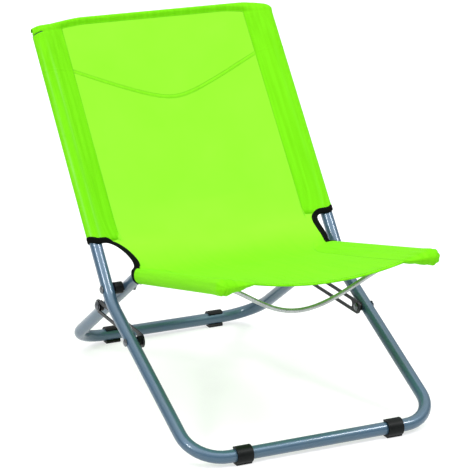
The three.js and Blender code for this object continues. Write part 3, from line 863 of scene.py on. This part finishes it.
FLAT_STEP = 0.003  # of flat cloth from row to row past the front edge
vertices, faces = [grid.reshape(-1, 3)], main_faces
cloth = [np.stack([flat_u, flat_v, np.zeros_like(flat_u)], -1).reshape(-1, 3)]
layer_and_seat_shade = [layers_and_seat_shade.reshape(-1)]
for extra in (pocket, turned):
    first = sum(len(v) for v in vertices)
    faces = faces + grid_faces(~np.isnan(extra[:, :, 0]), first)
    if extra is pocket:
        faces = faces + pocket_ends(first, len(pocket))
    vertices.append(extra.reshape(-1, 3))
    flat_past = flat_v[R_FRONT][0] + np.arange(len(extra))[:, None] * FLAT_STEP
    flat_part = np.broadcast_arrays(flat_u[R_FRONT], flat_past, 0.0)
    cloth.append(np.stack(flat_part, -1).reshape(-1, 3))
    layer_and_seat_shade.append(np.ones(extra.shape[:2]).reshape(-1))

vertices = np.concatenate(vertices)
cloth = np.nan_to_num(np.concatenate(cloth))
layer_and_seat_shade = np.concatenate(layer_and_seat_shade)
used = np.unique(np.array(faces))
renumber = np.zeros(len(vertices), int)
renumber[used] = np.arange(len(used))
faces = [[renumber[k] for k in face] for face in faces]


def line_down(column, width):
    """A soft-edged line down the cloth, this many columns out on both sides."""
    return np.exp(-(((columns - column) / width) ** 2))


# The tube's sheen shows through the sleeve as pale lines down its length, strongest on the -X side.
glint = 0.6 * line_down(I_EDGE + 5.0, 0.8) + 0.35 * line_down(I_EDGE - 1.0, 0.7)
glint = glint * np.where(right_side, 1.0, 0.25)
down_back = smooth((row_number - R_BACK) / 24) * (row_number < R_HIP)
glint = down_back[:, None] * glint[None, :]
glint = np.concatenate([glint.reshape(-1), np.zeros(len(vertices) - glint.size)])

sling_data = (
    ("cloth", "FLOAT_VECTOR", cloth[used]),
    ("layers_and_seat_shade", "FLOAT", layer_and_seat_shade[used]),
    ("glint", "FLOAT", glint[used]),
)
sling = add_mesh("sling", vertices[used], faces, FABRIC, sling_data)
bm = bmesh.new()
bm.from_mesh(sling.data)
bmesh.ops.remove_doubles(bm, verts=bm.verts, dist=1e-6)
bmesh.ops.recalc_face_normals(bm, faces=bm.faces)
bm.to_mesh(sling.data)
bm.free()

thickening = sling.modifiers.new("thickness", "SOLIDIFY")
thickening.thickness = CLOTH_T
thickening.offset = 0.0

BLEND_PROUD = 0.012
BLEND_START = back_at(0.0, BACK_RING, BLEND_PROUD)
BLEND_END = seat_at(0.0, SEAT_RING, BLEND_PROUD)


def follow_fold(piece):
    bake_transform(piece)


follow_fold(sling)
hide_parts("back_panel", "seat_panel", "hip_panel")

# ---------------------------------------------------------------- tapes round the cut-outs

TAPE_W = 0.0095
TAPE_H = 0.0011
TAPE_SEAM = 0.0075  # its stitching, from the cloth's edge
TAPE_ACROSS = [(TAPE_W * share, 1.15 * TAPE_H) for share in (0.85, 0.7, 0.55, 0.4, 0.25, 0.1)]
TAPE_FRONT = [(TAPE_W, 0.85 * TAPE_H), *TAPE_ACROSS, (-0.0013, 0.5 * TAPE_H)]
TAPE_SECTION = TAPE_FRONT + [(into, -height) for into, height in reversed(TAPE_FRONT)]
MARCH = 0.0012  # one step over the cloth
CLING = 0.0030  # how far off the cloth a step still lands on it
PATH_STEP = 0.0020
PATH_ROUNDS = 4

surface = normals(grid)
cloth_tree = BVHTree.FromPolygons([tuple(v) for v in vertices[used]], faces)


def unit(v):
    return v / np.maximum(np.linalg.norm(v, axis=-1, keepdims=True), 1e-12)


def run_along(points):
    """How far along a line each of its points lies."""
    return np.concatenate([[0], np.cumsum(np.linalg.norm(np.diff(points, axis=0), axis=1))])


def evenly(corners, *values):
    """Spots at even distances along a line of corners, and values on its corners carried over to them."""
    run = run_along(corners)
    at = np.linspace(0, run[-1], int(run[-1] / PATH_STEP) + 1)
    return [np.stack([np.interp(at, run, v[:, k]) for k in range(3)], 1) for v in (corners, *values)]


def cut_path(side):
    """Points, normals and directions into the cloth along one cut-out's whole edge, round both tubes."""
    def column(k):
        return CENTRE + side * k

    spots = [(R_HIP - 1, column(k), -1, 0) for k in range(HALF - 3, I_EDGE, -1)]
    spots += [(r, column(I_EDGE), 0, -side) for r in range(R_HIP, R_SEAT)]
    spots += [(R_SEAT, column(k), 1, 0) for k in range(I_EDGE + 1, HALF - 2)]
    corners = np.array([grid[r, c] for r, c, _, _ in spots])
    inward = np.array([grid[r + dr, c + dc] - grid[r, c] for r, c, dr, dc in spots])
    outward = np.array([surface[r, c + 3 * dc] for r, c, _, dc in spots])
    points, inward, outward = evenly(corners, unit(inward), outward)
    points = eased(points, PATH_ROUNDS)
    tangent = unit(np.gradient(points, axis=0))
    normal = []
    for point, step, up in zip(points, inward, outward):
        facing = np.array(cloth_tree.find_nearest(Vector(point + step * MARCH))[1])
        normal.append(facing if facing @ up > 0 else -facing)
    normal = unit(eased(np.array(normal), 2 * PATH_ROUNDS))
    into = unit(np.cross(normal, tangent))
    into = unit(eased(into * np.sign((into * inward).sum()), 2 * PATH_ROUNDS))
    return points, normal, into


def walk(point, heading, up, distance):
    """The spot this far over the cloth from a point on its edge, and the cloth's normal there."""
    here, heading, up = Vector(point), Vector(heading), Vector(up)
    left = distance
    while left > 1e-6:
        stride = min(left, MARCH)
        spot, facing, _, gap = cloth_tree.find_nearest(here + heading * stride)
        if gap < CLING:
            up = (facing if facing.dot(up) > 0 else -facing).lerp(up, 0.5).normalized()
            heading = (spot - here).normalized()
            here = spot
        else:
            here = here + heading * stride
        heading = (heading - up * heading.dot(up)).normalized()
        left -= stride
    return np.array(here), np.array(up)


def over_cloth(points, normal, into, distance):
    """The path moved this far over the cloth, with its normals; a negative distance goes off the edge."""
    if distance <= 0:
        return points + into * distance, normal
    walked = [walk(p, i, n, distance) for p, n, i in zip(points, normal, into)]
    return np.array([w[0] for w in walked]), unit(np.array([w[1] for w in walked]))


def swept(name, points, normal, into, section, material):
    """A strip along a path; its section gives (distance in from the edge, height)."""
    rings = []
    for a, b in section:
        place, up = over_cloth(points, normal, into, a)
        rings.append(place + up * b)
    rings = np.stack(rings, 1)
    count, sides = rings.shape[:2]
    run = run_along(points)
    from_edge = np.tile([a for a, _ in section], count)
    along = np.stack([np.repeat(run, sides), from_edge, np.zeros(count * sides)], -1)
    quads = []
    for i in range(count - 1):
        for k in range(sides):
            n = (k + 1) % sides
            quads.append((i * sides + k, i * sides + n, (i + 1) * sides + n, (i + 1) * sides + k))
    quads.append(tuple(range(sides)))
    quads.append(tuple((count - 1) * sides + k for k in reversed(range(sides))))
    return add_mesh(name, rings.reshape(-1, 3), quads, material, (("cloth", "FLOAT_VECTOR", along),))


# ---------------------------------------------------------------- stitching


SEAM_STITCH = (0.00042, 0.0030, 0.0042)  # radius, length and pitch
TAPE_STITCH = (0.00035, 0.0024, 0.0034)
STITCH_SIDES = 6

# The rings of one stitch: where along its length, how thick, and how high, in radii.
STITCH_RINGS = (
    (-0.5, 0.35, -0.9),
    (-0.36, 0.85, -0.2),
    (0.0, 1.0, 0.0),
    (0.36, 0.85, -0.2),
    (0.5, 0.35, -0.9),
)


def resample(points, normal, step):
    """Points at this step along a line, and the normals there."""
    run = run_along(points)
    at = np.arange(0, run[-1], step)
    place = np.stack([np.interp(at, run, points[:, k]) for k in range(3)], 1)
    facing = unit(np.stack([np.interp(at, run, normal[:, k]) for k in range(3)], 1))
    return place, facing


def stitches(name, lines, lift, material, stitch):
    """Separate short stitches along each line of (points, normals), lying on the cloth."""
    radius, length, pitch = stitch
    verts, quads = [], []
    sides = STITCH_SIDES
    for points, normal in lines:
        place, facing = resample(points, normal, pitch / 2)
        for k in range(1, len(place) - 1, 2):
            run = unit(place[k + 1] - place[k - 1])
            up = facing[k]
            cross = np.cross(run, up)
            base = len(verts)
            for shift, size, rise in STITCH_RINGS:
                centre = place[k] + run * shift * length + up * (lift + rise * radius)
                for a in range(sides):
                    angle = 2 * math.pi * a / sides
                    verts.append(centre + radius * size * (math.cos(angle) * cross + math.sin(angle) * up))
            for ring in range(len(STITCH_RINGS) - 1):
                for a in range(sides):
                    n = (a + 1) % sides
                    low, high = base + ring * sides, base + (ring + 1) * sides
                    quads.append((low + a, low + n, high + n, high + a))
            quads.append(tuple(base + a for a in reversed(range(sides))))
            quads.append(tuple(base + (len(STITCH_RINGS) - 1) * sides + a for a in range(sides)))
    return add_mesh(name, verts, quads, material)


def grid_line(cells, facing=1.0):
    """The points and normals at these (row, column) cells; facing -1 gives the cloth's back."""
    rows, cols = np.array([c[0] for c in cells]), np.array([c[1] for c in cells])
    return grid[rows, cols], surface[rows, cols] * facing


green_lines = []
inner = range(CENTRE - I_SEAM, CENTRE + I_SEAM + 1)
for row in (R_HEAD, R_HEAD_LOW):
    for facing in (1.0, -1.0):
        green_lines.append(grid_line([(row, c) for c in inner], facing))
green_lines.append(grid_line([(R_BACK, c) for c in inner]))
green_lines.append(grid_line([(1, c) for c in inner]))
for facing in (1.0, -1.0):
    green_lines.append(grid_line([(R_FRONT - 1, c) for c in inner], facing))
for side in (-1, 1):
    seam, rear = CENTRE + side * I_SEAM, CENTRE + side * (HALF - 2)
    for rows in (range(R_BACK, R_HIP), range(R_SEAT, R_FRONT + 1)):
        green_lines.append(grid_line([(r, seam) for r in rows]))
        green_lines.append(grid_line([(r, rear) for r in rows][1:]))

stitching = stitches("seam_stitching", green_lines, CLOTH_T / 2 + 0.0002, GREEN_THREAD, SEAM_STITCH)
follow_fold(stitching)

pieces_on_sling = [stitching]
for word, side in (("left", 1), ("right", -1)):
    points, normal, into = cut_path(side)
    tape = swept("hip_tape_" + word, points, normal, into, TAPE_SECTION, TAPE)
    follow_fold(tape)
    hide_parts("hip_binding_" + word)
    place, up = over_cloth(points, normal, into, TAPE_SEAM)
    rows = [(place, up), (place, -up)]
    sewing = stitches("tape_stitching_" + word, rows, 1.1 * TAPE_H, BLACK_THREAD, TAPE_STITCH)
    follow_fold(sewing)
    pieces_on_sling += [tape, sewing]

# ---------------------------------------------------------------- floor, light and camera

floor_finish = Finish(
    "floor",
    (0.4, 0.4, 0.4),
    0.8,
    Emission_Color=(1.0, 1.0, 1.0, 1.0),
    Emission_Strength=0.62,
)
floor_tone = floor_finish.noise(floor_finish.place(), 1.3, 3.0)
floor_finish.link(floor_finish.mix(floor_tone, (0.39, 0.39, 0.39), (0.41, 0.41, 0.41)), "Base Color")
REACH = 30.0
FLOOR_Z = -0.0006
floor_corners = [(x * REACH, y * REACH, FLOOR_Z) for x, y in ((-1, -1), (1, -1), (1, 1), (-1, 1))]
floor = add_mesh("floor", floor_corners, [(0, 1, 2, 3)], floor_finish.material)

world = bpy.data.worlds.new("studio")
bpy.context.scene.world = world
world.use_nodes = True
sky = world.node_tree
skyward = sky.nodes.new("ShaderNodeSeparateXYZ")
sky.links.new(sky.nodes.new("ShaderNodeTexCoord").outputs["Generated"], skyward.inputs["Vector"])
overhead = sky.nodes.new("ShaderNodeMapRange")
overhead.interpolation_type = "SMOOTHSTEP"
for label, value in {"From Min": 0.15, "From Max": 0.75, "To Min": 0.3, "To Max": 1.35}.items():
    overhead.inputs[label].default_value = value
sky.links.new(skyward.outputs["Z"], overhead.inputs["Value"])
sky.links.new(overhead.outputs["Result"], sky.nodes["Background"].inputs["Strength"])
sky.nodes["Background"].inputs["Color"].default_value = (0.96, 0.98, 1.0, 1.0)


def aim(piece, azimuth, elevation):
    """Adds a lamp or camera that looks this way, in degrees: azimuth 0 along +Y, elevation downwards."""
    a, e = math.radians(azimuth), math.radians(elevation)
    toward = Vector((-math.sin(a) * math.cos(e), math.cos(a) * math.cos(e), -math.sin(e)))
    piece.rotation_mode = "QUATERNION"
    piece.rotation_quaternion = toward.to_track_quat("-Z", "Y")
    bpy.context.scene.collection.objects.link(piece)


def softbox(name, azimuth, elevation, spread, strength):
    """A distant soft light."""
    data = bpy.data.lights.new(name, "SUN")
    data.angle = math.radians(spread)
    data.energy = strength
    aim(bpy.data.objects.new(name, data), azimuth, elevation)


softbox("key", -70.0, 37.0, 12.0, 1.3)
softbox("fill", 50.0, 50.0, 10.0, 1.1)
softbox("top", -30.0, 75.0, 60.0, 1.0)

VIEW_AZIMUTH = -25.4
VIEW_ELEVATION = 16.93
CAMERA_AT = (-1.6561, -3.4862, 1.4574)
LENS = 177.2

camera_data = bpy.data.cameras.new("camera")
camera_data.lens = LENS
camera_data.sensor_width = 36.0
camera_data.clip_end = 100.0
camera = bpy.data.objects.new("camera", camera_data)
camera.location = CAMERA_AT
aim(camera, VIEW_AZIMUTH, VIEW_ELEVATION)
bpy.context.scene.camera = camera
bpy.context.scene.view_settings.view_transform = "Standard"
